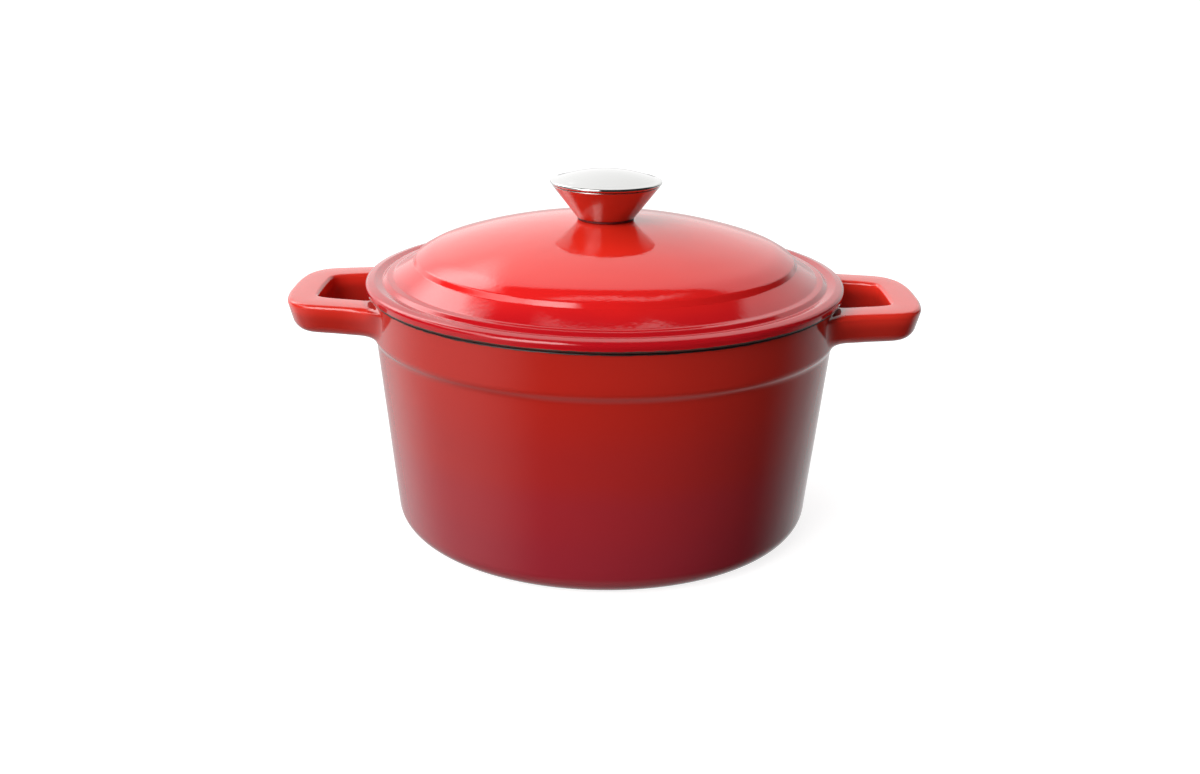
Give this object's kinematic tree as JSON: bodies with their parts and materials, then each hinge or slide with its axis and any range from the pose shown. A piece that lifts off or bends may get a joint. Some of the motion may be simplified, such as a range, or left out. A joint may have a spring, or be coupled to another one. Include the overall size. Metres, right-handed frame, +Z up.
{
  "type": "dutch oven",
  "caption": "Round enamelled cast iron pot with loop handles, a domed lid that lifts off and turns, and a polished steel knob held by a screw from below.",
  "frame": {"origin": "centre of the base, on the surface that the pot stands on", "axes": "+X along the two handles, +Z up along the pot's axis, +Y completes the right-handed frame; -Y faces the viewer of the front"},
  "size_m": [0.3298, 0.25, 0.1889],
  "materials": {
    "pot_enamel": "glossy enamel, orange red at the rim and handles fading to crimson at the base; cream inside, matte black on the rim",
    "lid_enamel": "glossy enamel, orange red at the centre fading to crimson at the lip; cream underneath",
    "gasket_silicone": "matte silicone",
    "knob_steel": "polished stainless steel",
    "cap_steel": "polished stainless steel, satin crown",
    "insert_steel": "turned steel",
    "screw_steel": "zinc plated steel",
    "washer_steel": "zinc plated steel"
  },
  "bodies": {
    "pot": {"pot": "pot_enamel"},
    "knob": {"knob_gasket": "gasket_silicone", "knob_body": "knob_steel", "knob_cap": "cap_steel", "knob_insert": "insert_steel", "knob_screw": "screw_steel", "spring_washer": "washer_steel", "flat_washer": "washer_steel"},
    "lid": {"lid": "lid_enamel"}
  },
  "joints": [
    {"name": "lid_lift", "type": "slide", "parent": "pot", "child": "knob", "axis": [0, 0, 1], "range_m": [0, 0.12]},
    {"name": "lid_turn", "type": "hinge", "parent": "knob", "child": "lid", "pos_m": [0, 0, 0.163], "axis": [0, 0, 1], "continuous": true}
  ]
}
